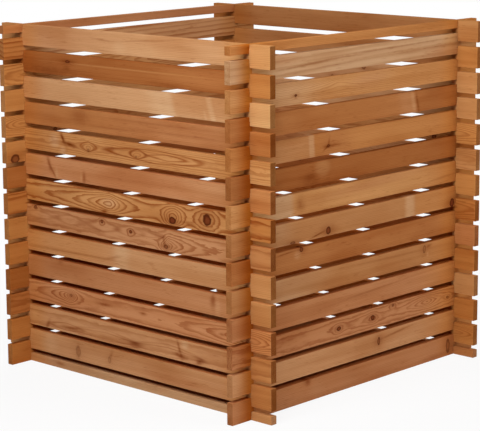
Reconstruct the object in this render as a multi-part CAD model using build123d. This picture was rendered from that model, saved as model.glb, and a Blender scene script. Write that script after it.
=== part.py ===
from build123d import *
import os

# Open compost bin of softwood boards that plug together at the corners like a log cabin.
# Every board stands on its edge and is notched near both ends, above and below. The boards of
# one pair of walls lie half a course higher than those of the other pair, so each board drops
# into the notches of the two boards that it crosses, and no screw or nail is needed.
# Millimetres, +Z up, origin on the ground in the middle of the bin; the front wall faces -Y.

# Driving dimensions
INSIDE = 858.0  # clear width between opposite walls, the same both ways
BOARD_THICKNESS = 20.0
BOARD_WIDTH = 60.0  # height of a full board as it stands on its edge
VENT_SLOT = 14.0  # air gap between two boards of one wall
OVERHANG = 71.0  # length of board past the outer face of the wall that it crosses
COURSES = 13  # full boards in each wall
NOTCH_PLAY = 0.4  # room in a notch on either side of the board that lies in it
ARRIS = 1.5  # bevel along the long edges
END_ARRIS = 1.0  # bevel round the sawn ends

# Sizes that follow from them
COURSE_PITCH = BOARD_WIDTH + VENT_SLOT
HALF_COURSE = COURSE_PITCH / 2
RAIL_WIDTH = BOARD_WIDTH - HALF_COURSE  # the narrow rails that level the bin below and above
NOTCH_DEPTH = RAIL_WIDTH / 2
NOTCH_LENGTH = BOARD_THICKNESS + 2 * NOTCH_PLAY
WALL_CENTRE = (INSIDE + BOARD_THICKNESS) / 2  # middle plane of a wall, from the bin's middle
BOARD_LENGTH = INSIDE + 2 * (BOARD_THICKNESS + OVERHANG)


def planed_blank(width):
    """A board along X with bevelled edges, standing on its lower edge at the origin."""
    blank = Box(
        BOARD_LENGTH,
        BOARD_THICKNESS,
        width,
        align=(Align.CENTER, Align.CENTER, Align.MIN),
    )
    blank = chamfer(blank.edges().filter_by(Axis.X), ARRIS)
    sawn_ends = blank.faces().filter_by(Axis.X)
    return chamfer(sawn_ends.edges(), END_ARRIS)


def notched(blank, *edge_heights):
    """Cuts a notch at both corner crossings into each edge that lies at a given height."""
    cutter = Box(NOTCH_LENGTH, 2 * BOARD_THICKNESS, 2 * NOTCH_DEPTH)
    for height in edge_heights:
        for crossing in (-WALL_CENTRE, WALL_CENTRE):
            blank -= Pos(crossing, 0, height) * cutter
    return blank


FULL_BOARD = notched(planed_blank(BOARD_WIDTH), 0, BOARD_WIDTH)
BOTTOM_RAIL = notched(planed_blank(RAIL_WIDTH), RAIL_WIDTH)
TOP_RAIL = notched(planed_blank(RAIL_WIDTH), 0)


def along_x(board, wall, height):
    """Stands a board in the front (wall -1) or back (wall 1) wall."""
    return Pos(0, wall * WALL_CENTRE, height) * board


def along_y(board, wall, height):
    """Stands a board in the left (wall -1) or right (wall 1) wall."""
    return Pos(wall * WALL_CENTRE, 0, height) * Rot(0, 0, 90) * board


pieces = {}

# Front and back walls: a rail on the ground, then full boards from half a course up
for name, wall in (("front", -1), ("back", 1)):
    pieces[f"{name}_bottom_rail"] = along_x(BOTTOM_RAIL, wall, 0)
    for course in range(COURSES):
        height = HALF_COURSE + course * COURSE_PITCH
        pieces[f"{name}_board_{course + 1:02d}"] = along_x(FULL_BOARD, wall, height)

# Left and right walls: full boards from the ground, then a rail that closes the rim
for name, wall in (("left", -1), ("right", 1)):
    for course in range(COURSES):
        height = course * COURSE_PITCH
        pieces[f"{name}_board_{course + 1:02d}"] = along_y(FULL_BOARD, wall, height)
    pieces[f"{name}_top_rail"] = along_y(TOP_RAIL, wall, COURSES * COURSE_PITCH)

os.makedirs("parts", exist_ok=True)
for name, piece in pieces.items():
    piece.label = name
    export_step(piece, f"parts/{name}.step")
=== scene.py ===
import math
import random

import bpy
from mathutils import Matrix, Vector


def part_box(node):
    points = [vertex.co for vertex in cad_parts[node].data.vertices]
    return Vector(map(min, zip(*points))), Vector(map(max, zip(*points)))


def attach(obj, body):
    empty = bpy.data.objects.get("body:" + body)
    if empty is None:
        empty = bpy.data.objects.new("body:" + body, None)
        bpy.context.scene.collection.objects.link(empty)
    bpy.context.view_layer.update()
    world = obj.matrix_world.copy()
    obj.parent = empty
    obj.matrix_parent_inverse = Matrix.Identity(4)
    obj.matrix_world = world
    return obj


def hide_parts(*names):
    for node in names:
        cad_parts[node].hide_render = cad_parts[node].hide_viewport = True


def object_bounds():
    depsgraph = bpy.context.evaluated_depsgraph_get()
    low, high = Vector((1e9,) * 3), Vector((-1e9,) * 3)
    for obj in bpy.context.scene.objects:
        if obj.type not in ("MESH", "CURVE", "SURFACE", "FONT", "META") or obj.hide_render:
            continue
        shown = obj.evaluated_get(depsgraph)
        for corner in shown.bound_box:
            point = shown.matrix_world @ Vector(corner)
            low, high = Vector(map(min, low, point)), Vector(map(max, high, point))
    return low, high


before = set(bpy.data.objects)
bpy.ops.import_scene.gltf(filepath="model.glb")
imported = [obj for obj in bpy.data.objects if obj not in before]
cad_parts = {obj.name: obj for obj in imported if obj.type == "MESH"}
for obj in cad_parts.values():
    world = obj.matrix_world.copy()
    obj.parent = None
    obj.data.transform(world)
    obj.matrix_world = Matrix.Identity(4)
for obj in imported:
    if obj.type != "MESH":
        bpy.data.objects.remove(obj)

cad_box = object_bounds()

# Bottom rails
# The two half-height boards on the ground under the front and back walls. They are planed
# softwood, ripped from full boards and notched on the upper edge, and nothing fixes them but the
# weight of the boards above, which drop into the notches.

rail_low, rail_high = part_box("front_bottom_rail")
board_low, board_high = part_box("front_board_01")
crossing_low, crossing_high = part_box("right_board_01")
board_thickness = board_high.y - board_low.y
board_width = board_high.z - board_low.z
rail_width = rail_high.z - rail_low.z
crossing_place = (crossing_low.x + crossing_high.x) / 2  # middle of a notch, from the board's middle
NOTCH_PLAY = 0.0004
notch_length = board_thickness + 2 * NOTCH_PLAY
notch_depth = rail_width / 2
PLANED_ARRIS = 0.0013  # radius that the planer leaves on the long edges
ARRIS_SEGMENTS = 3
SAWN_ARRIS_SHARE = 0.4  # the sawn edges are that much sharper
SHARP_TURN = 0.5  # radians between two faces, from which their edge is rounded
EDGE_SLACK = 0.0001
END_TRIM = 0.0012  # a crosscut may leave a board short by up to this


class Wire:
    """A socket in a node tree. Arithmetic adds Math nodes, and node() adds any other node."""

    def __init__(self, socket):
        self.socket = socket
        self.tree = socket.id_data

    def node(self, kind, settings, inputs, output=0):
        made = self.tree.nodes.new(kind)
        for name, value in settings.items():
            setattr(made, name, value)
        for name, value in inputs.items():
            if isinstance(value, Wire):
                self.tree.links.new(value.socket, made.inputs[name])
            else:
                made.inputs[name].default_value = value
        return Wire(made.outputs[output])

    def math(self, operation, first, second=0.0):
        return self.node("ShaderNodeMath", {"operation": operation}, {0: first, 1: second})

    def part(self, axis):
        return self.node("ShaderNodeSeparateXYZ", {}, {"Vector": self}, axis)

    def ease(self, low, high):
        """0 below low, 1 above high, and smooth between them."""
        return self.node(
            "ShaderNodeMapRange",
            {"interpolation_type": "SMOOTHSTEP"},
            {"Value": self, "From Min": low, "From Max": high},
        )

    def __add__(self, other):
        return self.math("ADD", self, other)

    def __sub__(self, other):
        return self.math("SUBTRACT", self, other)

    def __rsub__(self, other):
        return self.math("SUBTRACT", other, self)

    def __mul__(self, other):
        return self.math("MULTIPLY", self, other)

    def __truediv__(self, other):
        return self.math("DIVIDE", self, other)

    def __pow__(self, other):
        return self.math("POWER", self, other)

    def __gt__(self, other):
        return self.math("GREATER_THAN", self, other)

    def __lt__(self, other):
        return self.math("LESS_THAN", self, other)

    def __abs__(self):
        return self.math("ABSOLUTE", self)

    __radd__ = __add__
    __rmul__ = __mul__


def notched_board_tree():
    """A board along X about the origin: a planed blank, less a notch at each chosen crossing."""
    tree = bpy.data.node_groups.new("notched board", "GeometryNodeTree")
    sizes = ("Length", "Thickness", "Width", "Crossing", "Notch length", "Notch depth")
    for name in (*sizes, "Notched above", "Notched below"):
        tree.interface.new_socket(name, in_out="INPUT", socket_type="NodeSocketFloat")
    tree.interface.new_socket("Wood", in_out="INPUT", socket_type="NodeSocketMaterial")
    tree.interface.new_socket("Board", in_out="OUTPUT", socket_type="NodeSocketGeometry")
    given = {s.name: Wire(s) for s in tree.nodes.new("NodeGroupInput").outputs if s.name}
    start = given["Length"]

    def box(length, thickness, width):
        size = start.node("ShaderNodeCombineXYZ", {}, {"X": length, "Y": thickness, "Z": width})
        return start.node("GeometryNodeMeshCube", {}, {"Size": size}, "Mesh")

    # One grid vertex lies at each of the four places where a crossing board can drop in
    corners = start.node(
        "GeometryNodeMeshGrid",
        {},
        {"Size X": given["Crossing"] * 2, "Size Y": given["Width"], "Vertices X": 2, "Vertices Y": 2},
        "Mesh",
    )
    corners = start.node(
        "GeometryNodeTransform", {}, {"Geometry": corners, "Rotation": (math.pi / 2, 0, 0)}
    )
    position = start.node("GeometryNodeInputPosition", {}, {})
    across = position.part("Y")
    height = position.part("Z")
    is_above = height > 0
    is_cut = is_above * given["Notched above"] + (1 - is_above) * given["Notched below"]
    notch = box(given["Notch length"], given["Thickness"] * 2, given["Notch depth"] * 2)
    notches = start.node(
        "GeometryNodeInstanceOnPoints",
        {},
        {"Points": corners, "Selection": is_cut > 0.5, "Instance": notch},
    )
    blank = box(given["Length"], given["Thickness"], given["Width"])
    board = start.node(
        "GeometryNodeMeshBoolean",
        {"operation": "DIFFERENCE", "solver": "EXACT"},
        {"Mesh 1": blank, "Mesh 2": notches},
    )
    # Planed edges run the length of the blank. Every other outer edge is sawn, and sharper.
    is_face_edge = abs(across) > given["Thickness"] / 2 - EDGE_SLACK
    is_long_edge = is_face_edge * (abs(height) > given["Width"] / 2 - EDGE_SLACK)
    is_outer = start.node("GeometryNodeInputMeshEdgeAngle", {}, {}, "Signed Angle") > SHARP_TURN
    rounding = is_outer * (SAWN_ARRIS_SHARE + (1 - SAWN_ARRIS_SHARE) * is_long_edge)
    board = start.node(
        "GeometryNodeStoreNamedAttribute",
        {"data_type": "FLOAT", "domain": "EDGE"},
        {"Geometry": board, "Name": "bevel_weight_edge", "Value": rounding},
    )
    board = start.node("GeometryNodeRealizeInstances", {}, {"Geometry": board})
    board = start.node("GeometryNodeSetMaterial", {}, {"Geometry": board, "Material": given["Wood"]})
    tree.links.new(board.socket, tree.nodes.new("NodeGroupOutput").inputs["Board"])
    return tree


board_tree = notched_board_tree()
board_inputs = {
    item.name: item.identifier for item in board_tree.interface.items_tree if item.in_out == "INPUT"
}


def stain(red, green, blue):
    """A colour as a paint chart gives it, 0 to 255, in the linear form that a shader takes."""
    parts = [c / 255 for c in (red, green, blue)]
    return (*(c / 12.92 if c <= 0.04045 else ((c + 0.055) / 1.055) ** 2.4 for c in parts), 1.0)


WOOD_TONES = {
    "cream": stain(216, 174, 132),
    "ash": stain(204, 162, 122),
    "straw": stain(206, 156, 111),
    "sand": stain(201, 147, 102),
    "honey": stain(203, 146, 92),
    "apricot": stain(199, 138, 94),
    "tan": stain(195, 139, 96),
    "rose": stain(190, 130, 87),
    "fawn": stain(187, 130, 82),
    "amber": stain(194, 131, 76),
    "russet": stain(182, 119, 70),
    "brown": stain(174, 110, 60),
    "umber": stain(165, 101, 54),
}

# What each mark keeps of the red, green and blue of the wood under it
LATEWOOD_SHADE = (0.57, 0.35, 0.23)  # the dark half of a growth ring
STREAK_SHADE = (0.78, 0.65, 0.52)
BLOTCH_SHADE = (0.82, 0.69, 0.57)
FIBRE_SHADE = (0.80, 0.72, 0.64)
FLECK_SHADE = (0.66, 0.50, 0.38)
RESIN_SHADE = (0.56, 0.37, 0.25)  # wood stained by a knot close by
END_GRAIN_SHADE = (0.44, 0.31, 0.18)  # open pores drink the light on a sawn end
PAINTED_END_WARMTH = (1.0, 0.92, 0.72)  # painted light: a little warmer near the ends, as light bounced between crossing boards
PAINTED_NOOK_SHADE = (0.90, 0.60, 0.20)  # painted shade: darker and warmer, as where light has bounced between two stubs
PAINTED_CHAMBER_SHADE = (0.80, 0.46, 0.22)  # painted shade: the same darkening, deep inside the bin and its slots
KNOT_HEART = stain(112, 52, 27)
KNOT_RIM = stain(80, 35, 18)

# Lumps of each kind of noise in a metre along, up and outward
LONG_WAVES = (2.2, 9, 9)
SHORT_WAVES = (12, 55, 55)
RIPPLES = (25, 140, 140)
FINE_RIPPLES = (80, 300, 300)
KNOT_WAVES = (35, 50, 50)
RAGGED_EDGES = (9, 28, 28)
CRUMBS = (70, 90, 90)
BLOTCHES = (3.0, 11, 11)
STREAKS = (1.3, 50, 50)
FIBRES = (7, 700, 700)
FLECKS = (30, 220, 220)
PORES = (300, 300, 300)
SMOOTH = 2.0  # octaves of a noise
ROUGH = 3.0

ARCH_CROWN = 0.2  # share of its reach over which an arch is round at its middle
END_FACING = (0.6, 0.9)  # how squarely a face looks along the board where it becomes a sawn end


class Grain:
    """A board's own directions, with the noise and the distances that its figure is drawn with."""

    def __init__(self, tree, middle, along_y, outward, seed):
        coordinates = tree.nodes.new("ShaderNodeTexCoord")
        place = Wire(coordinates.outputs["Object"])
        normal = Wire(coordinates.outputs["Normal"])
        long_axis, flat_axis = ("Y", "X") if along_y else ("X", "Y")
        self.along = place.part(long_axis)
        self.up = place.part("Z") - middle.z
        self.out = (place.part(flat_axis) - getattr(middle, flat_axis.lower())) * outward
        self.place = place.node("ShaderNodeCombineXYZ", {}, {"X": self.along, "Y": self.up, "Z": self.out})
        self.seed = seed
        self.sawn_end = abs(normal.part(long_axis)).ease(*END_FACING)
        self.ragged = self.noise(RAGGED_EDGES)
        self.crumbly = self.noise(CRUMBS)

    def noise(self, lumps, octaves=SMOOTH):
        """Noise about 0, with so many lumps in a metre along, up and outward."""
        place = self.place.node(
            "ShaderNodeVectorMath", {"operation": "MULTIPLY_ADD"}, {0: self.place, 1: lumps, 2: self.seed}
        )
        inputs = {"Vector": place, "Scale": 1.0, "Detail": octaves}
        return place.node("ShaderNodeTexNoise", {}, inputs) - 0.5

    def spread(self, along, up, half_length, half_height, turn=0.0):
        """How many half sizes a point lies from a place on the face, in an oval turned by degrees."""
        ahead = self.along - along
        above = self.up - up
        cosine = math.cos(math.radians(turn))
        sine = math.sin(math.radians(turn))
        down_grain = (ahead * cosine + above * sine) / half_length
        across = (above * cosine - ahead * sine) / half_height
        return (across * across + down_grain * down_grain) ** 0.5

    def bell(self, far):
        """1 at a place, falling off softly to 0 over about two half sizes."""
        return far.math("EXPONENT", far * far * -1.0)

    def arch(self, along, up, reach_back, reach_on, half_height):
        """1 at a place, falling off along the grain in the pointed arches of a flat-sawn face."""
        ahead = self.along - along
        reach = ahead.math("MAXIMUM", ahead * (-1 / reach_back), ahead * (1 / reach_on))
        reach = (reach * reach + ARCH_CROWN ** 2) ** 0.5 - ARCH_CROWN
        across = (self.up - up) / half_height
        return reach.math("EXPONENT", (reach + across * across) * -1.0)

    def lens(self, along, up, half_length, half_height):
        """0 at a place, 1 on the outline of a lens round it that is pointed along the grain."""
        ahead = abs(self.along - along) / half_length
        across = (self.up - up) / half_height
        return ahead + across * across

    def tint(self, kind, factor, first, second):
        return self.place.node(
            "ShaderNodeMix",
            {"data_type": "RGBA", "blend_type": kind},
            {"Factor": factor, 6: first, 7: second},
            2,
        )

    def shade(self, colour, factor, keeps):
        return self.tint("MULTIPLY", factor, colour, (*keeps, 1.0))


RIPPLE_SHARE = 0.6  # of a board's ripple, and below it that of its finest part
FINE_RIPPLE_SHARE = 0.2
KNOT_BEND = (2.6, 2.2)  # half sizes of a knot, along and up, over which the rings bend round it
KNOT_BEND_WAVES = 0.5
KNOT_RINGS = 0.8  # that close round the smallest knot
KNOT_RINGS_PER_METRE = 140  # and more for a knot's half length


def growth_rings(grain, heart, slope, ring, wander, ripple, arches, eyes, knots):
    """Counts the rings out from the heart line, which wander a little and close round the marks."""
    ring_up = grain.up - grain.along * slope[0] - heart[0]
    ring_out = grain.out - grain.along * slope[1] - heart[1]
    from_heart = (ring_up * ring_up + ring_out * ring_out) ** 0.5
    from_heart = from_heart + grain.noise(LONG_WAVES) * wander + grain.noise(SHORT_WAVES) * ripple
    fine = grain.noise(RIPPLES) * RIPPLE_SHARE + grain.noise(FINE_RIPPLES) * FINE_RIPPLE_SHARE
    from_heart = from_heart + fine * ripple
    rings = from_heart / ring
    for *shape, closes in arches:
        rings = rings - grain.arch(*shape) * closes
    for *oval, closes in eyes:
        rings = rings - grain.bell(grain.spread(*oval)) * closes
    for along, up, half_length, half_height, _ in knots:
        far = grain.spread(along, up, half_length * KNOT_BEND[0], half_height * KNOT_BEND[1])
        far = far + grain.noise(KNOT_WAVES) * KNOT_BEND_WAVES
        rings = rings - grain.bell(far) * (KNOT_RINGS + half_length * KNOT_RINGS_PER_METRE)
    return rings


LATEWOOD_RISE = (0.35, 0.85)  # places in a ring where it starts to darken and is darkest
LATEWOOD_STOP = (0.92, 1.0)
WEAKEST_RING = 0.5  # beside the strongest


def latewood(grain, rings):
    """1 where a ring is darkest. It darkens slowly through the ring and stops sharply at its end."""
    ring_number = rings.math("FLOOR", rings)
    ring_phase = rings - ring_number
    vigour = rings.node(
        "ShaderNodeTexWhiteNoise", {"noise_dimensions": "1D"}, {"W": ring_number + grain.seed[0]}, "Value"
    )
    late = ring_phase.ease(*LATEWOOD_RISE) * (1 - ring_phase.ease(*LATEWOOD_STOP))
    return late * (WEAKEST_RING + (1 - WEAKEST_RING) * vigour)


PATCH_RAGGEDNESS = 0.4
PATCH_FADE = 0.3  # share of its softness that a patch reaches past its half sizes


def lay_patches(grain, colour, patches, lean):
    """Lays pale and dark patches over the board's own tone."""
    for tone, *oval, share, soft in patches:
        far = grain.spread(*oval, lean) + grain.ragged * PATCH_RAGGEDNESS * soft
        covered = (1 - far.ease(1 - soft, 1 + soft * PATCH_FADE)) * share
        colour = grain.tint("MIX", covered, colour, WOOD_TONES[tone])
    return colour


# The values of a noise over which its marks come up
BLOTCH_RANGE = (-0.05, 0.22)
STREAK_RANGE = (-0.15, 0.2)
FIBRE_RANGE = (-0.1, 0.3)
FLECK_RANGE = (0.06, 0.22)
FLECKED_RANGE = (-0.15, 0.15)
BLOTCH_DARKNESS = 0.8
FIBRE_DARKNESS = 0.35
FLECK_DARKNESS = 0.5
ISLAND_WAVES = 0.3
ISLAND_STRENGTH = 0.8
ISLAND_UNEVENNESS = 1.8


def draw_lines(grain, colour, rings, streaks, islands, fibre):
    """Draws blotches, long streaks, growth rings, single ring outlines, fibres and flecks."""
    blotches = grain.noise(BLOTCHES).ease(*BLOTCH_RANGE)
    colour = grain.shade(colour, blotches * BLOTCH_DARKNESS, BLOTCH_SHADE)
    bands = grain.noise(STREAKS, ROUGH).ease(*STREAK_RANGE)
    colour = grain.shade(colour, bands * streaks, STREAK_SHADE)
    colour = grain.shade(colour, rings, LATEWOOD_SHADE)
    for *oval, line, dark in islands:
        inside = grain.lens(*oval) + grain.noise(SHORT_WAVES) * ISLAND_WAVES
        drawn = grain.bell((inside - 1) / line) * (ISLAND_STRENGTH + grain.ragged * ISLAND_UNEVENNESS)
        colour = grain.shade(colour, drawn * dark, LATEWOOD_SHADE)
    colour = grain.shade(colour, fibre.ease(*FIBRE_RANGE) * FIBRE_DARKNESS, FIBRE_SHADE)
    flecks = grain.noise(FLECKS, ROUGH).ease(*FLECK_RANGE) * grain.ragged.ease(*FLECKED_RANGE)
    return grain.shade(colour, flecks * FLECK_DARKNESS, FLECK_SHADE)


PAINTED_END_WARMTH_PLACES = (0.33, 0.41)  # from the board's middle, where the painted warmth begins and is full
PAINTED_NOOK_REACH = 0.072  # from the middle of a crossing, how far the painted nook shade reaches


def paint_bounced_warmth(grain, colour, nook):
    """Paints bounced light: warmer colour near both ends, or painted shade in the nook between two stubs
    at -Y instead.
    """
    # Painted shade: the stub at -Y is darkened and warmed towards the crossing, where the stub beside it
    # shades it
    from_crossing = abs(grain.along + crossing_place)
    in_nook = (grain.along < -crossing_place) * nook
    nook_painted_shade = in_nook * (1 - from_crossing.ease(board_thickness / 2, PAINTED_NOOK_REACH))
    colour = grain.shade(colour, nook_painted_shade, PAINTED_NOOK_SHADE)
    # Painted light: the faces near both ends are warmed as light bounced between crossing boards would
    # warm them
    painted_end_warmth_mask = abs(grain.along).ease(*PAINTED_END_WARMTH_PLACES)
    return grain.shade(colour, painted_end_warmth_mask * (1 - in_nook) * (1 - grain.sawn_end), PAINTED_END_WARMTH)


INNER_FACE = 0.45  # of the thickness from the middle, past which a point is on the inner face
UPPER_EDGE = 0.498  # of the width from the middle, past which it is on the flat upper edge
UPPER_EDGE_SHADE_SHARE = 0.6  # of the inner face's painted shade, on the upper edge in the slot below the next board
PAINTED_CHAMBER_DEPTHS = (0.74, 0.34)  # heights of a board where that painted shade begins and is full


def paint_inside_shade(grain, colour, height):
    """Paints shade on what faces the chamber or a slot, the more the lower the board lies."""
    in_painted_shade = grain.out < -INNER_FACE * board_thickness
    is_upper_edge = grain.up > UPPER_EDGE * board_width
    in_painted_shade = in_painted_shade.math("MAXIMUM", in_painted_shade, is_upper_edge * UPPER_EDGE_SHADE_SHARE)
    in_painted_shade = in_painted_shade * (abs(grain.along) < crossing_place)
    begins, is_full = PAINTED_CHAMBER_DEPTHS
    depth = (begins - height) / (begins - is_full)
    return grain.shade(colour, in_painted_shade * min(max(depth, 0.0), 1.0), PAINTED_CHAMBER_SHADE)


SMEAR_CRUMBS = 0.9
SMEAR_RAGGEDNESS = 0.6
STAIN_REACH = (3.2, 1.7)  # half sizes of a knot, along and up, that its stain reaches
STAIN_SHARE = 0.7  # of the knot's darkness
KNOT_CRUMBS = 0.7
KNOT_EDGE = (0.8, 1.15)  # half sizes over which a knot ends
RIM_EDGE = (0.35, 0.85)  # half sizes over which its dark bark line comes up


def draw_knots(grain, colour, smears, knots):
    """Draws resin smears, and knots with a bark line and stained wood before and behind."""
    for *oval, dark, turn in smears:
        far = grain.spread(*oval, turn) + grain.crumbly * SMEAR_CRUMBS + grain.ragged * SMEAR_RAGGEDNESS
        colour = grain.shade(colour, grain.bell(far) * dark, RESIN_SHADE)
    for along, up, half_length, half_height, dark in knots:
        far = grain.spread(along, up, half_length * STAIN_REACH[0], half_height * STAIN_REACH[1])
        stained = grain.bell(far + grain.ragged)
        colour = grain.shade(colour, stained * dark * STAIN_SHARE, RESIN_SHADE)
        far = grain.spread(along, up, half_length, half_height) + grain.crumbly * KNOT_CRUMBS
        inside = 1 - far.ease(*KNOT_EDGE)
        colour = grain.tint("MIX", inside * dark * dark, colour, KNOT_HEART)
        colour = grain.tint("MIX", inside * far.ease(*RIM_EDGE) * dark, colour, KNOT_RIM)
    return colour


SEED_RANGE = 50
PORE_DARKNESS = 0.6
PLANED_ROUGHNESS = 0.64
LATEWOOD_POLISH = 0.08  # how much smoother latewood is
SAWN_ROUGHNESS = 0.2  # how much rougher a sawn end is
LATEWOOD_RELIEF = 0.4
FIBRE_RELIEF = 0.6
RELIEF_HEIGHT = 0.0004
RELIEF_STRENGTH = 0.25
BARE_WOOD_GLOSS = 0.0  # planed and left dry, with no oil or varnish on it


def softwood(name, middle, along_y, outward, tone, heart, ring, figure, slope=(0, 0), wander=0.005,
             ripple=0.004, streaks=0.5, arches=(), eyes=(), islands=(), knots=(), smears=(), patches=(),
             lean=0.0, sawn_dark=0.44, nook=0.0):
    """Planed softwood with its growth rings as they lie in the log.

    heart is where the log's heart line passes the board's middle, up and outward from it, and
    slope is how far that line climbs along the board. ring is the thickness of a ring, and wander
    and ripple are how far its long and short waves stray. figure and streaks are how dark the
    latewood and the long streaks are. A mark lies at a place along and up the face, from the
    board's middle, and has half sizes along and up. All the patches of a board lean alike, in
    degrees. sawn_dark is how dark the board's ends are, as end grain and, above the side walls'
    value, as painted shade. nook is how much painted shade darkens and warms the stub at -Y.
    """
    wood = bpy.data.materials.new(name)
    wood.use_nodes = True
    tree = wood.node_tree
    draw = random.Random(name)
    seed = tuple(draw.uniform(0, SEED_RANGE) for _ in range(3))
    grain = Grain(tree, middle, along_y, outward, seed)
    rings = growth_rings(grain, heart, slope, ring, wander, ripple, arches, eyes, knots)
    late = latewood(grain, rings)
    fibre = grain.noise(FIBRES, ROUGH)
    pores = grain.noise(PORES, ROUGH)

    colour = lay_patches(grain, WOOD_TONES[tone], patches, lean)
    colour = draw_lines(grain, colour, late * figure, streaks, islands, fibre)
    colour = paint_bounced_warmth(grain, colour, nook)
    colour = paint_inside_shade(grain, colour, middle.z)
    colour = draw_knots(grain, colour, smears, knots)
    # Sawn ends are darker as end grain, and on the front and back boards a larger sawn_dark adds painted
    # shade
    sawn = grain.sawn_end * (sawn_dark + pores * PORE_DARKNESS)
    colour = grain.shade(colour, sawn, END_GRAIN_SHADE)

    # Planed faces are smooth, latewood a little smoother, sawn ends dull and speckled
    roughness = PLANED_ROUGHNESS - late * LATEWOOD_POLISH + grain.sawn_end * SAWN_ROUGHNESS
    relief = late * LATEWOOD_RELIEF + fibre * FIBRE_RELIEF + grain.sawn_end * pores
    bump = relief.node(
        "ShaderNodeBump", {}, {"Strength": RELIEF_STRENGTH, "Distance": RELIEF_HEIGHT, "Height": relief}
    )
    bsdf = tree.nodes["Principled BSDF"]
    bsdf.inputs["Specular IOR Level"].default_value = BARE_WOOD_GLOSS
    tree.links.new(colour.socket, bsdf.inputs["Base Color"])
    tree.links.new(roughness.socket, bsdf.inputs["Roughness"])
    tree.links.new(bump.socket, bsdf.inputs["Normal"])
    return wood


def shaped(piece, values):
    """Cuts a piece with the board tree, rounds its edges and gives the result as a plain mesh."""
    shaping = piece.modifiers.new("notched board", "NODES")
    shaping.node_group = board_tree
    for name, value in values.items():
        shaping[board_inputs[name]] = value
    rounding = piece.modifiers.new("arrises", "BEVEL")
    rounding.limit_method = "WEIGHT"
    rounding.width = PLANED_ARRIS
    rounding.segments = ARRIS_SEGMENTS
    rounding.harden_normals = True
    depsgraph = bpy.context.evaluated_depsgraph_get()
    mesh = bpy.data.meshes.new_from_object(piece.evaluated_get(depsgraph), depsgraph=depsgraph)
    piece.modifiers.clear()
    return mesh


def board(node, body, above=True, below=True, **figure):
    """Makes one board where the frame has it, in its own wood, and rides it on its body."""
    low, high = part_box(node)
    middle = (low + high) / 2
    size = high - low
    along_y = size.y > size.x
    wall_place = middle.x if along_y else middle.y
    outward = 1 if wall_place > 0 else -1
    draw = random.Random(node)
    values = {
        "Length": max(size.x, size.y) - draw.uniform(0, END_TRIM),
        "Thickness": board_thickness,
        "Width": size.z,
        "Crossing": crossing_place,
        "Notch length": notch_length,
        "Notch depth": notch_depth,
        "Notched above": float(above),
        "Notched below": float(below),
        "Wood": softwood(f"softwood {node}", middle, along_y, outward, **figure),
    }
    piece = bpy.data.objects.new(f"{node}_wood", bpy.data.meshes.new(node))
    bpy.context.scene.collection.objects.link(piece)
    mesh = shaped(piece, values)
    mesh.name = f"{node}_wood"
    turn = Matrix.Rotation(math.pi / 2, 4, "Z") if along_y else Matrix.Identity(4)
    mesh.transform(Matrix.Translation(middle) @ turn)
    piece.data = mesh
    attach(piece, body)
    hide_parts(node)


# Heart well below the board: close, nearly straight lines on the face
STRAIGHT = dict(heart=(-0.080, -0.045), ring=0.0034, figure=0.28)
BAND_HALF_HEIGHT = 0.3  # far more than a board's width, so the patch crosses all of it
USUAL_SOFTNESS = 0.9


def smear(at, half, dark, turn=0.0):
    """A resin stain, turned by degrees."""
    return (*at, *half, dark, turn)


def patch(tone, at, half, share, soft=USUAL_SOFTNESS):
    """Wood of another tone, with a share of it and an edge that is sharp at 0 and soft at 1."""
    return (tone, *at, *half, share, soft)


def band(tone, at, half, share, soft=USUAL_SOFTNESS):
    """A patch over the whole width of a board."""
    return patch(tone, (at, 0.0), (half, BAND_HALF_HEIGHT), share, soft)


board("front_bottom_rail", "bottom_rails", below=False, tone="ash", **STRAIGHT,
      patches=[
          band("tan", at=-0.42, half=0.22, share=0.8),
          band("tan", at=0.48, half=0.06, share=0.6, soft=0.5),
      ],
      smears=[smear(at=(-0.30, 0.002), half=(0.020, 0.006), dark=0.7)])
board("back_bottom_rail", "bottom_rails", below=False, tone="tan", **STRAIGHT)

# Side boards
# Thirteen full boards in each of the left and right walls, the lowest on the ground. Planed
# softwood on edge, notched above and below at both ends, dropped over the boards that they cross.

# Heart right behind the face: wide arches
FLAT_SAWN = dict(heart=(0.0, -0.065), ring=0.0052, figure=0.85, wander=0.003, streaks=0.35)

STUB_PLACE = 0.49
STUB_HALF = 0.05
STUB_SOFTNESS = 0.3


def stub(tone, share, side=1):
    """A band outside the crossing, where a board's stub has a tone of its own."""
    return band(tone, side * STUB_PLACE, STUB_HALF, share, STUB_SOFTNESS)


def knot(at, half, dark):
    """A branch that was sawn through."""
    return (*at, *half, dark)


def arch(at, reach, half_height, closes):
    """So many rings that close round a place, in arches that reach back and on along the board."""
    return (*at, *reach, half_height, closes)


# The amber bands about 0.42 along, half 0.16, on boards 8 and 5 to 2 are painted bounce light from the
# back stubs
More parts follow.
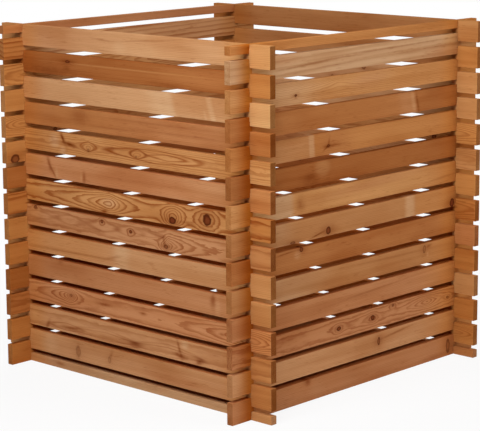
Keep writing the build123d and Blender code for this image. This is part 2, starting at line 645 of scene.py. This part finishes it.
right_boards = {
    13: dict(
        STRAIGHT, tone="ash", heart=(-0.12, -0.03), slope=(0.03, 0), ring=0.017, wander=0.004,
        smears=[
            smear(at=(-0.22, -0.003), half=(0.13, 0.0028), dark=0.65, turn=3.2),
            smear(at=(0.10, 0.013), half=(0.26, 0.0028), dark=0.6, turn=1.2),
            smear(at=(-0.10, -0.012), half=(0.16, 0.004), dark=0.35, turn=3.0),
            smear(at=(0.28, 0.001), half=(0.20, 0.004), dark=0.35, turn=1.0),
        ],
        patches=[
            patch("rose", at=(0.42, -0.02), half=(0.16, 0.03), share=0.5),
            patch("rose", at=(-0.33, 0.02), half=(0.10, 0.02), share=0.35),
        ],
    ),
    12: dict(
        STRAIGHT, tone="honey", figure=0.42, lean=8,
        arches=[arch(at=(-0.10, 0.020), reach=(0.09, 0.09), half_height=0.022, closes=4.0)],
        knots=[knot(at=(-0.272, -0.006), half=(0.005, 0.0035), dark=0.95)],
        patches=[
            band("ash", at=-0.32, half=0.17, share=0.6),
            patch("tan", at=(0.04, 0.012), half=(0.11, 0.03), share=0.5),
            band("amber", at=0.40, half=0.28, share=0.5, soft=0.2),
        ],
    ),
    11: dict(
        STRAIGHT, tone="russet", lean=14,
        patches=[
            band("brown", at=-0.05, half=0.22, share=0.6),
            band("tan", at=0.200, half=0.045, share=0.4),
            patch("straw", at=(0.228, -0.004), half=(0.012, 0.05), share=0.5),
            band("umber", at=0.335, half=0.100, share=0.6, soft=0.12),
        ],
        smears=[smear(at=(0.246, -0.006), half=(0.034, 0.005), dark=0.6, turn=-76)],
    ),
    10: dict(
        STRAIGHT, tone="amber", lean=4, figure=0.34,
        patches=[
            band("ash", at=-0.31, half=0.115, share=0.32, soft=0.12),
            band("cream", at=-0.208, half=0.013, share=0.55, soft=0.6),
            band("russet", at=-0.11, half=0.085, share=0.7, soft=0.8),
        ],
        knots=[knot(at=(-0.140, -0.006), half=(0.006, 0.004), dark=0.8)],
        smears=[
            smear(at=(-0.115, -0.007), half=(0.045, 0.004), dark=0.8),
            smear(at=(-0.138, 0.004), half=(0.014, 0.004), dark=0.7, turn=80),
            smear(at=(-0.148, -0.010), half=(0.014, 0.003), dark=0.9, turn=30),
        ],
    ),
    9: dict(
        STRAIGHT, tone="umber",
        patches=[
            patch("fawn", at=(-0.165, 0.010), half=(0.035, 0.03), share=0.6, soft=0.6),
            stub("fawn", share=0.7, side=-1),
        ],
        smears=[smear(at=(-0.215, -0.012), half=(0.030, 0.018), dark=0.6)],
    ),
    8: dict(
        STRAIGHT, tone="honey", lean=3,
        patches=[
            band("ash", at=-0.36, half=0.083, share=0.85, soft=0.25),
            patch("rose", at=(0.05, 0.016), half=(0.30, 0.018), share=0.5),
            band("amber", at=0.42, half=0.16, share=0.8, soft=0.8),
        ],
        smears=[
            smear(at=(-0.254, -0.002), half=(0.016, 0.020), dark=0.65),
            smear(at=(0.37, -0.010), half=(0.07, 0.003), dark=0.4, turn=4),
        ],
    ),
    7: dict(
        STRAIGHT, tone="fawn", lean=2,
        patches=[
            band("ash", at=-0.36, half=0.085, share=0.4, soft=0.8),
            band("cream", at=0.215, half=0.026, share=0.5, soft=0.7),
            band("amber", at=0.34, half=0.105, share=0.7, soft=0.15),
        ],
        knots=[
            knot(at=(-0.140, -0.015), half=(0.010, 0.010), dark=0.9),
            knot(at=(-0.285, -0.026), half=(0.010, 0.004), dark=0.7),
            knot(at=(0.412, -0.017), half=(0.010, 0.013), dark=0.95),
        ],
        smears=[smear(at=(-0.185, -0.020), half=(0.028, 0.0025), dark=1.0, turn=12)],
    ),
    6: dict(
        STRAIGHT, tone="russet",
        patches=[
            patch("straw", at=(-0.266, 0.012), half=(0.016, 0.014), share=0.55, soft=0.8),
            band("amber", at=0.46, half=0.12, share=0.7, soft=0.6),
        ],
        knots=[knot(at=(-0.250, 0.025), half=(0.007, 0.007), dark=0.85)],
        smears=[smear(at=(-0.31, 0.023), half=(0.045, 0.0025), dark=0.8, turn=4)],
    ),
    5: dict(
        STRAIGHT, tone="fawn",
        patches=[
            band("ash", at=-0.30, half=0.17, share=0.5),
            patch("straw", at=(0.299, -0.004), half=(0.007, 0.008), share=0.7, soft=0.7),
            band("amber", at=0.42, half=0.16, share=0.7, soft=0.8),
        ],
        knots=[knot(at=(0.284, 0.013), half=(0.007, 0.012), dark=0.45)],
        smears=[
            smear(at=(0.305, 0.020), half=(0.012, 0.004), dark=0.7, turn=10),
            smear(at=(0.10, 0.015), half=(0.18, 0.003), dark=0.35, turn=-1),
        ],
    ),
    4: dict(
        STRAIGHT, tone="rose", slope=(0.03, 0),
        smears=[smear(at=(0.05, 0.008), half=(0.20, 0.003), dark=0.4, turn=3)],
        patches=[band("amber", at=0.42, half=0.16, share=0.7, soft=0.8)],
    ),
    3: dict(
        FLAT_SAWN, tone="rose", figure=0.8, ripple=0.006,
        patches=[band("amber", at=0.42, half=0.16, share=0.7, soft=0.8)],
        arches=[
            arch(at=(0.30, 0.004), reach=(0.070, 0.060), half_height=0.016, closes=4.5),
            arch(at=(0.02, 0.002), reach=(0.10, 0.06), half_height=0.020, closes=1.2),
        ],
        knots=[
            knot(at=(-0.095, 0.0), half=(0.009, 0.006), dark=0.9),
            knot(at=(0.052, 0.003), half=(0.008, 0.007), dark=0.95),
            knot(at=(0.142, 0.022), half=(0.006, 0.004), dark=0.7),
            knot(at=(0.397, 0.0), half=(0.006, 0.004), dark=0.6),
        ],
    ),
    2: dict(
        STRAIGHT, tone="sand",
        patches=[
            patch("straw", at=(0.070, -0.014), half=(0.006, 0.014), share=0.5, soft=0.8),
            band("amber", at=0.42, half=0.16, share=0.6, soft=0.8),
        ],
        knots=[knot(at=(0.079, 0.004), half=(0.006, 0.011), dark=0.75)],
        smears=[smear(at=(0.155, 0.015), half=(0.070, 0.003), dark=0.7, turn=6)],
    ),
    1: dict(
        STRAIGHT, tone="rose",
        patches=[patch("tan", at=(-0.19, 0.0), half=(0.04, 0.03), share=0.6)],
        knots=[knot(at=(0.402, 0.0), half=(0.009, 0.022), dark=0.6)],
        smears=[
            smear(at=(-0.225, 0.026), half=(0.012, 0.010), dark=1.0),
            smear(at=(0.34, -0.020), half=(0.05, 0.008), dark=0.4),
        ],
    ),
}
left_boards = {
    13: dict(
        STRAIGHT, tone="straw", heart=(-0.07, 0.03), slope=(0.02, 0), ring=0.012, figure=0.9,
        patches=[stub("amber", share=0.8, side=-1)],
    ),
    9: dict(STRAIGHT, tone="honey", knots=[knot(at=(-0.488, -0.020), half=(0.016, 0.013), dark=0.8)]),
}
LEFT_TONES = {
    12: "honey", 11: "honey", 10: "honey", 8: "russet", 7: "amber", 6: "honey", 5: "amber", 4: "brown",
    3: "russet", 2: "amber", 1: "amber",
}

FLAT_SAWN_SHARE = 0.35  # of the boards on the stack
KNOT_COUNTS = (0, 0, 1, 1, 2, 3)
KNOT_FLATNESS = 0.85
YARD_ARCHES = 3
YARD_PATCHES = 2
YARD_PATCH_TONES = ("straw", "tan", "fawn", "rose")
YARD_PATCH_SHARE = 0.5


def yard_board(node, tone):
    """A board as it comes off the stack, for the walls of which only the ends are known."""
    draw = random.Random(node)
    flat_sawn = draw.random() < FLAT_SAWN_SHARE
    knots = []
    for _ in range(draw.choice(KNOT_COUNTS)):
        radius = draw.uniform(0.004, 0.010)
        place = (draw.uniform(-0.40, 0.40), draw.uniform(-0.024, 0.024))
        half_size = (radius, radius * KNOT_FLATNESS)
        knots.append(knot(at=place, half=half_size, dark=draw.uniform(0.6, 0.9)))
    arches = []
    for _ in range(YARD_ARCHES if flat_sawn else 0):
        place = (draw.uniform(-0.50, 0.50), draw.uniform(-0.008, 0.008))
        reach = (draw.uniform(0.05, 0.15), draw.uniform(0.05, 0.15))
        half_height = draw.uniform(0.016, 0.028)
        arches.append(arch(at=place, reach=reach, half_height=half_height, closes=draw.uniform(1.5, 4.5)))
    patches = []
    for _ in range(YARD_PATCHES):
        patch_tone = draw.choice(YARD_PATCH_TONES)
        place = (draw.uniform(-0.30, 0.30), draw.uniform(-0.02, 0.02))
        half_size = (draw.uniform(0.06, 0.18), draw.uniform(0.02, 0.2))
        patches.append(patch(patch_tone, at=place, half=half_size, share=YARD_PATCH_SHARE))
    cut = FLAT_SAWN if flat_sawn else STRAIGHT
    return dict(
        cut,
        tone=tone,
        slope=(draw.uniform(-0.02, 0.02), draw.uniform(-0.02, 0.02)),
        figure=cut["figure"] * draw.uniform(0.6, 1.0),
        knots=knots,
        arches=arches,
        patches=patches,
    )


# nook paints shade on the right boards' stubs at -Y
for course, figure in right_boards.items():
    body = f"side_course_{course:02d}"
    board(f"right_board_{course:02d}", body, nook=1.0, **figure)
    left_node = f"left_board_{course:02d}"
    left_figure = left_boards.get(course) or yard_board(left_node, LEFT_TONES[course])
    board(left_node, body, **left_figure)

# Cross boards
# Thirteen full boards in each of the front and back walls, half a course above the side boards.
# The same planed boards, so each locks two side boards below it and two above.


def island(at, half, line, dark):
    """One ring's thin outline, pointed at both ends, with the thickness of its line."""
    return (*at, *half, line, dark)


def eye(at, half, closes):
    """So many rings that close round a place in ovals."""
    return (*at, *half, closes)


front_boards = {
    13: dict(
        STRAIGHT, tone="straw", slope=(0.03, 0), streaks=0.35,
        patches=[
            band("tan", at=-0.40, half=0.38, share=0.8),
            patch("cream", at=(-0.03, -0.008), half=(0.03, 0.02), share=0.35),
        ],
        smears=[
            smear(at=(-0.10, 0.007), half=(0.035, 0.003), dark=0.5, turn=-4),
            smear(at=(0.06, 0.014), half=(0.10, 0.0025), dark=0.45, turn=4),
            smear(at=(-0.10, -0.022), half=(0.04, 0.003), dark=0.4, turn=-3),
        ],
    ),
    12: dict(
        STRAIGHT, tone="umber",
        patches=[
            patch("russet", at=(0.30, 0.008), half=(0.22, 0.03), share=0.8),
            patch("honey", at=(0.0, 0.007), half=(0.45, 0.003), share=0.5),
            stub("honey", share=0.6),
        ],
        knots=[knot(at=(-0.240, 0.011), half=(0.009, 0.004), dark=0.95)],
        smears=[
            smear(at=(-0.33, -0.024), half=(0.12, 0.016), dark=0.55),
            smear(at=(-0.245, -0.008), half=(0.014, 0.010), dark=0.5),
            smear(at=(0.15, -0.024), half=(0.07, 0.007), dark=0.5),
            smear(at=(0.32, -0.030), half=(0.12, 0.006), dark=0.4),
        ],
    ),
    11: dict(
        STRAIGHT, tone="straw", streaks=0.35, lean=18,
        patches=[
            band("tan", at=-0.42, half=0.09, share=0.6, soft=0.6),
            band("cream", at=0.125, half=0.055, share=0.7, soft=0.95),
            band("cream", at=0.163, half=0.022, share=0.9, soft=0.7),
            band("straw", at=0.245, half=0.072, share=1.0, soft=0.25),
            band("cream", at=0.312, half=0.012, share=0.95, soft=0.8),
            patch("cream", at=(0.292, -0.02), half=(0.006, 0.02), share=0.5, soft=0.8),
            stub("cream", share=0.6),
        ],
    ),
    10: dict(
        STRAIGHT, tone="russet",
        patches=[
            band("rose", at=0.20, half=0.30, share=0.6),
            band("tan", at=0.38, half=0.16, share=0.4),
        ],
        smears=[
            smear(at=(-0.195, 0.010), half=(0.035, 0.022), dark=0.5),
            smear(at=(0.10, 0.016), half=(0.20, 0.003), dark=0.4),
            smear(at=(-0.06, -0.012), half=(0.10, 0.003), dark=0.4),
            smear(at=(0.20, -0.004), half=(0.18, 0.003), dark=0.35),
        ],
    ),
    9: dict(
        FLAT_SAWN, tone="honey", wander=0.002, ripple=0.0012, figure=0.6, ring=0.0016,
        arches=[arch(at=(0.10, 0.002), reach=(0.20, 0.20), half_height=0.018, closes=1.0)],
        islands=[
            island(at=(0.100, 0.002), half=(0.185, 0.018), line=0.11, dark=1.0),
            island(at=(0.150, 0.003), half=(0.066, 0.008), line=0.25, dark=0.9),
            island(at=(0.035, 0.002), half=(0.030, 0.013), line=0.24, dark=0.9),
            island(at=(-0.162, 0.002), half=(0.032, 0.014), line=0.24, dark=1.0),
        ],
        eyes=[
            eye(at=(0.035, 0.001), half=(0.027, 0.016), closes=1.5),
            eye(at=(-0.162, 0.001), half=(0.030, 0.017), closes=1.4),
        ],
        patches=[
            patch("cream", at=(-0.303, 0.006), half=(0.026, 0.024), share=0.8),
            patch("cream", at=(-0.268, -0.020), half=(0.016, 0.014), share=0.6),
            stub("cream", share=0.5),
        ],
        knots=[
            knot(at=(-0.162, -0.008), half=(0.004, 0.005), dark=0.55),
            knot(at=(0.029, -0.006), half=(0.004, 0.003), dark=0.5),
        ],
        smears=[
            smear(at=(-0.268, 0.016), half=(0.020, 0.006), dark=1.0, turn=-58),
            smear(at=(-0.268, 0.014), half=(0.014, 0.004), dark=0.8, turn=-58),
            smear(at=(-0.238, 0.000), half=(0.028, 0.006), dark=1.0, turn=-10),
            smear(at=(-0.240, 0.001), half=(0.024, 0.003), dark=0.8, turn=-6),
        ],
    ),
    8: dict(
        STRAIGHT, tone="apricot",
        patches=[
            band("straw", at=0.38, half=0.22, share=0.4),
            patch("amber", at=(-0.42, 0.016), half=(0.10, 0.016), share=0.6, soft=0.7),
            patch("straw", at=(-0.297, -0.014), half=(0.009, 0.020), share=0.7),
            patch("straw", at=(-0.194, -0.014), half=(0.005, 0.016), share=0.6),
        ],
        smears=[
            smear(at=(-0.328, 0.012), half=(0.024, 0.007), dark=0.85, turn=-66),
            smear(at=(-0.310, -0.014), half=(0.020, 0.004), dark=0.8, turn=-55),
            smear(at=(-0.182, -0.016), half=(0.015, 0.006), dark=0.8, turn=90),
        ],
    ),
    7: dict(
        FLAT_SAWN, tone="honey", figure=1.15,
        arches=[arch(at=(-0.080, -0.002), reach=(0.106, 0.050), half_height=0.027, closes=5.0)],
        eyes=[eye(at=(0.170, 0.001), half=(0.036, 0.026), closes=2.6)],
        patches=[
            patch("cream", at=(-0.080, 0.0), half=(0.040, 0.016), share=0.5),
            stub("russet", share=0.6),
        ],
        knots=[
            knot(at=(0.165, -0.016), half=(0.012, 0.010), dark=1.0),
            knot(at=(0.295, 0.003), half=(0.015, 0.016), dark=0.95),
        ],
        smears=[
            smear(at=(-0.103, -0.026), half=(0.014, 0.007), dark=1.0, turn=15),
            smear(at=(0.225, -0.014), half=(0.030, 0.005), dark=0.7),
        ],
    ),
    6: dict(
        FLAT_SAWN, tone="tan", ripple=0.0055, wander=0.008, figure=0.85,
        arches=[arch(at=(0.150, -0.016), reach=(0.016, 0.080), half_height=0.032, closes=4.5)],
        islands=[
            island(at=(-0.245, 0.006), half=(0.055, 0.014), line=0.30, dark=0.4),
            island(at=(-0.110, 0.006), half=(0.060, 0.015), line=0.30, dark=0.5),
            island(at=(0.0, 0.006), half=(0.050, 0.015), line=0.30, dark=0.55),
            island(at=(0.07, 0.010), half=(0.060, 0.010), line=0.30, dark=0.45),
            island(at=(-0.38, 0.004), half=(0.060, 0.012), line=0.28, dark=0.4),
        ],
        knots=[
            knot(at=(-0.112, 0.019), half=(0.005, 0.005), dark=0.85),
            knot(at=(0.002, 0.006), half=(0.005, 0.005), dark=0.9),
            knot(at=(0.140, -0.017), half=(0.008, 0.006), dark=0.7),
            knot(at=(-0.392, 0.026), half=(0.006, 0.005), dark=0.7),
        ],
        smears=[
            smear(at=(0.105, 0.010), half=(0.035, 0.004), dark=0.7, turn=-8),
            smear(at=(0.133, -0.004), half=(0.018, 0.004), dark=0.8, turn=-70),
        ],
    ),
    5: dict(
        STRAIGHT, tone="sand",
        patches=[
            band("amber", at=-0.30, half=0.25, share=0.6, soft=0.6),
            band("straw", at=0.22, half=0.28, share=0.8, soft=0.5),
            band("cream", at=-0.035, half=0.036, share=0.6),
        ],
        smears=[
            smear(at=(-0.24, -0.014), half=(0.16, 0.003), dark=0.5, turn=1),
            smear(at=(-0.07, -0.004), half=(0.03, 0.004), dark=0.5, turn=15),
        ],
    ),
    4: dict(
        STRAIGHT, tone="rose",
        patches=[
            patch("straw", at=(0.330, -0.006), half=(0.012, 0.03), share=0.55, soft=0.8),
            band("tan", at=0.32, half=0.20, share=0.4),
            stub("straw", share=0.8),
        ],
        smears=[
            smear(at=(0.314, 0.012), half=(0.020, 0.009), dark=0.8, turn=84),
            smear(at=(-0.29, 0.026), half=(0.012, 0.006), dark=0.4),
        ],
    ),
    3: dict(
        FLAT_SAWN, tone="apricot",
        arches=[
            arch(at=(-0.250, 0.007), reach=(0.064, 0.022), half_height=0.020, closes=5.0),
            arch(at=(0.46, 0.0), reach=(0.12, 0.10), half_height=0.026, closes=5.0),
        ],
        knots=[knot(at=(-0.247, 0.009), half=(0.005, 0.004), dark=0.6)],
        smears=[
            smear(at=(-0.108, 0.005), half=(0.028, 0.005), dark=1.0),
            smear(at=(0.045, 0.005), half=(0.014, 0.004), dark=1.0),
            smear(at=(0.345, -0.002), half=(0.012, 0.004), dark=0.8),
        ],
    ),
    2: dict(
        FLAT_SAWN, tone="sand", figure=0.5, slope=(0.01, 0), ripple=0.004,
        islands=[
            island(at=(-0.270, -0.013), half=(0.065, 0.011), line=0.24, dark=0.7),
            island(at=(-0.110, -0.013), half=(0.125, 0.011), line=0.18, dark=0.5),
            island(at=(0.140, -0.013), half=(0.125, 0.013), line=0.18, dark=0.5),
            island(at=(-0.110, -0.015), half=(0.135, 0.022), line=0.14, dark=0.4),
            island(at=(0.140, -0.015), half=(0.135, 0.024), line=0.14, dark=0.4),
        ],
        patches=[
            patch("cream", at=(0.207, 0.018), half=(0.018, 0.014), share=0.7, soft=0.8),
            patch("straw", at=(-0.405, 0.004), half=(0.016, 0.016), share=0.6, soft=0.8),
        ],
        smears=[
            smear(at=(0.185, 0.006), half=(0.026, 0.005), dark=0.9, turn=-72),
            smear(at=(0.188, -0.014), half=(0.026, 0.006), dark=1.0, turn=-6),
            smear(at=(0.262, -0.018), half=(0.012, 0.007), dark=0.9, turn=20),
            smear(at=(-0.25, -0.013), half=(0.040, 0.004), dark=0.8, turn=3),
            smear(at=(-0.350, -0.018), half=(0.016, 0.006), dark=0.8, turn=60),
            smear(at=(0.01, -0.008), half=(0.06, 0.004), dark=0.5),
        ],
    ),
    1: dict(
        STRAIGHT, tone="sand",
        patches=[
            patch("cream", at=(-0.345, 0.0), half=(0.040, 0.03), share=0.4),
            patch("rose", at=(0.16, -0.014), half=(0.25, 0.014), share=0.6, soft=0.8),
            stub("russet", share=0.6),
        ],
        knots=[
            knot(at=(-0.222, -0.002), half=(0.010, 0.017), dark=0.3),
            knot(at=(-0.092, -0.004), half=(0.006, 0.010), dark=0.3),
        ],
        smears=[
            smear(at=(-0.222, 0.0), half=(0.024, 0.008), dark=0.5, turn=85),
            smear(at=(-0.085, 0.010), half=(0.016, 0.005), dark=0.5, turn=70),
        ],
    ),
}
back_boards = {
    13: dict(STRAIGHT, tone="fawn", patches=[stub("straw", share=0.8)]),
    12: dict(STRAIGHT, tone="fawn", patches=[stub("honey", share=0.8)]),
}
BACK_TONES = {
    11: "straw", 10: "straw", 9: "honey", 8: "straw", 7: "honey", 6: "amber", 5: "apricot",
    4: "amber", 3: "straw", 2: "amber", 1: "honey",
}

FRONT_SAWN_DARK_AND_SHADE = 1.0  # end grain is dark, and on these walls, whose seen ends face +X, painted shade makes it darker than on the side walls
BACK_SAWN_DARK_AND_SHADE = 0.85

for course, figure in front_boards.items():
    body = f"cross_course_{course:02d}"
    board(f"front_board_{course:02d}", body, sawn_dark=FRONT_SAWN_DARK_AND_SHADE, **figure)
    back_node = f"back_board_{course:02d}"
    back_figure = back_boards.get(course) or yard_board(back_node, BACK_TONES[course])
    board(back_node, body, sawn_dark=BACK_SAWN_DARK_AND_SHADE, **back_figure)

# Top rails
# The two half-height boards that bring the left and right walls level with the rim. The same
# planed stock as the bottom rails, notched underneath and pressed down over the top cross boards.

# nook paints shade on this rail's stub at -Y
board("right_top_rail", "right_top_rail", above=False, tone="amber", nook=1.0, **STRAIGHT)
board("left_top_rail", "left_top_rail", above=False, tone="rose", **STRAIGHT)

# Studio floor
# A plain white sweep under the bin. It shows white to the camera and keeps a faint shadow close
# to the bin. Inside the walls it is painted dark brown, a painted shade for the floor in the bin's shadow.

FLOOR_HALF = 40.0
FLOOR_WHITE = (0.90, 0.90, 0.90, 1)
FLOOR_ROUGHNESS = 0.9
PURE_WHITE = (1, 1, 1, 1)
# Painted shade for the floor inside the walls
PAINTED_SHADE_BROWN = (0.26, 0.095, 0.032, 1)
SHADOW_SHARE = 0.12  # how much of the real light and shade the camera sees on the floor
SHADOW_REACH = (0.9, 1.9)  # from the middle of the bin, where that share starts to fade and ends

floor_mesh = bpy.data.meshes.new("floor")
floor_corners = [(x * FLOOR_HALF, y * FLOOR_HALF, 0) for x, y in ((-1, -1), (1, -1), (1, 1), (-1, 1))]
floor_mesh.from_pydata(floor_corners, [], [(0, 1, 2, 3)])
floor = bpy.data.objects.new("floor", floor_mesh)
bpy.context.scene.collection.objects.link(floor)
floor_white = bpy.data.materials.new("floor white")
floor_white.use_nodes = True
floor_tree = floor_white.node_tree
floor_bsdf = floor_tree.nodes["Principled BSDF"]
floor_bsdf.inputs["Roughness"].default_value = FLOOR_ROUGHNESS
floor_bsdf.inputs["Specular IOR Level"].default_value = 0.0


def seen_white(tree):
    """1 for the rays that should find a white background, 0 for the rays that carry its light."""
    path = tree.nodes.new("ShaderNodeLightPath")
    seen = sum(Wire(path.outputs[f"Is {kind} Ray"]) for kind in ("Camera", "Glossy", "Transmission"))
    return seen.math("MINIMUM", seen, 1.0)


floor_place = Wire(floor_tree.nodes.new("ShaderNodeTexCoord").outputs["Object"])
floor_x = floor_place.part("X")
floor_y = floor_place.part("Y")
outside_bin = floor_place.math("MAXIMUM", abs(floor_x), abs(floor_y)) > crossing_place
from_middle = (floor_x * floor_x + floor_y * floor_y) ** 0.5
far_off = from_middle.ease(*SHADOW_REACH)
white_share = seen_white(floor_tree) * outside_bin * (1 - SHADOW_SHARE * (1 - far_off))
plain_white = floor_place.node("ShaderNodeEmission", {}, {"Color": PURE_WHITE, "Strength": 1.0})
# Dark brown painted shade inside the walls, white outside
floor_and_painted_shade = floor_place.node(
    "ShaderNodeMix", {"data_type": "RGBA"}, {"Factor": outside_bin, 6: PAINTED_SHADE_BROWN, 7: FLOOR_WHITE}, 2
)
floor_tree.links.new(floor_and_painted_shade.socket, floor_bsdf.inputs["Base Color"])
floor_mix = floor_place.node(
    "ShaderNodeMixShader", {}, {0: white_share, 1: Wire(floor_bsdf.outputs[0]), 2: plain_white}
)
floor_tree.links.new(floor_mix.socket, floor_tree.nodes["Material Output"].inputs["Surface"])
floor_mesh.materials.append(floor_white)

# Studio light
# Two large soft boxes, one high on the camera's left and one low beside the right wall, with a
# third behind the bin for its far sides, in a dim white room.

WORLD_FILL = 0.03
SOFT_BOX_SIZE = 2.0
light_aim = Vector((0, 0, (cad_box[0].z + cad_box[1].z) / 2))

world = bpy.data.worlds.new("white room")
world.use_nodes = True
room = world.node_tree.nodes["Background"]
room.inputs["Color"].default_value = PURE_WHITE
room_strength = WORLD_FILL + seen_white(world.node_tree) * (1 - WORLD_FILL)
world.node_tree.links.new(room_strength.socket, room.inputs["Strength"])
bpy.context.scene.world = world


def round_from_front(azimuth, elevation):
    """The direction at so many degrees from the front, towards the right wall, and above level."""
    turn = math.radians(azimuth)
    lift = math.radians(elevation)
    return Vector((math.sin(turn) * math.cos(lift), -math.cos(turn) * math.cos(lift), math.sin(lift)))


def soft_box(name, azimuth, elevation, distance, watts):
    lamp = bpy.data.lights.new(name, "AREA")
    lamp.size = SOFT_BOX_SIZE
    lamp.energy = watts
    holder = bpy.data.objects.new(name, lamp)
    direction = round_from_front(azimuth, elevation)
    holder.location = light_aim + direction * distance
    holder.rotation_euler = direction.to_track_quat("Z", "Y").to_euler()
    bpy.context.scene.collection.objects.link(holder)


soft_box("key", azimuth=26, elevation=42, distance=3.0, watts=82)
soft_box("side", azimuth=108, elevation=22, distance=3.6, watts=45)
soft_box("far", azimuth=-135, elevation=26, distance=3.6, watts=95)

# Camera
# Where the photo was taken from, a little above the rim and turned to the corner between the front
# and right walls.

CAMERA_AZIMUTH = 43.106  # degrees round from the front, towards the right wall
CAMERA_DISTANCE = 5.3555  # from the middle of the bin, on the ground
CAMERA_HEIGHT = 1.4739
LOOK_AZIMUTH = 43.137  # the way it looks back from, round from the front
LOOK_DOWN = 10.204  # degrees below level
LOOK_ROLL = math.radians(-0.373)
IMAGE_WIDTH = 480
FOCAL_PIXELS = 1876.0
SENSOR_WIDTH = 36.0  # mm
SHIFT_PIXELS = (-0.78, -30.0)

camera_data = bpy.data.cameras.new("camera")
camera_data.sensor_width = SENSOR_WIDTH
camera_data.lens = FOCAL_PIXELS / IMAGE_WIDTH * SENSOR_WIDTH
camera_data.shift_x = SHIFT_PIXELS[0] / IMAGE_WIDTH
camera_data.shift_y = SHIFT_PIXELS[1] / IMAGE_WIDTH
camera = bpy.data.objects.new("camera", camera_data)
look_back = round_from_front(LOOK_AZIMUTH, LOOK_DOWN)
level_right = Vector((0, 0, 1)).cross(look_back).normalized()
level_up = look_back.cross(level_right)
look_right = level_right * math.cos(LOOK_ROLL) + level_up * math.sin(LOOK_ROLL)
look_up = level_up * math.cos(LOOK_ROLL) - level_right * math.sin(LOOK_ROLL)
camera_place = round_from_front(CAMERA_AZIMUTH, 0) * CAMERA_DISTANCE + Vector((0, 0, CAMERA_HEIGHT))
camera_turn = Matrix((look_right, look_up, look_back)).transposed().to_4x4()
camera.matrix_world = Matrix.Translation(camera_place) @ camera_turn
bpy.context.scene.collection.objects.link(camera)
bpy.context.scene.camera = camera
bpy.context.scene.view_settings.view_transform = "Standard"
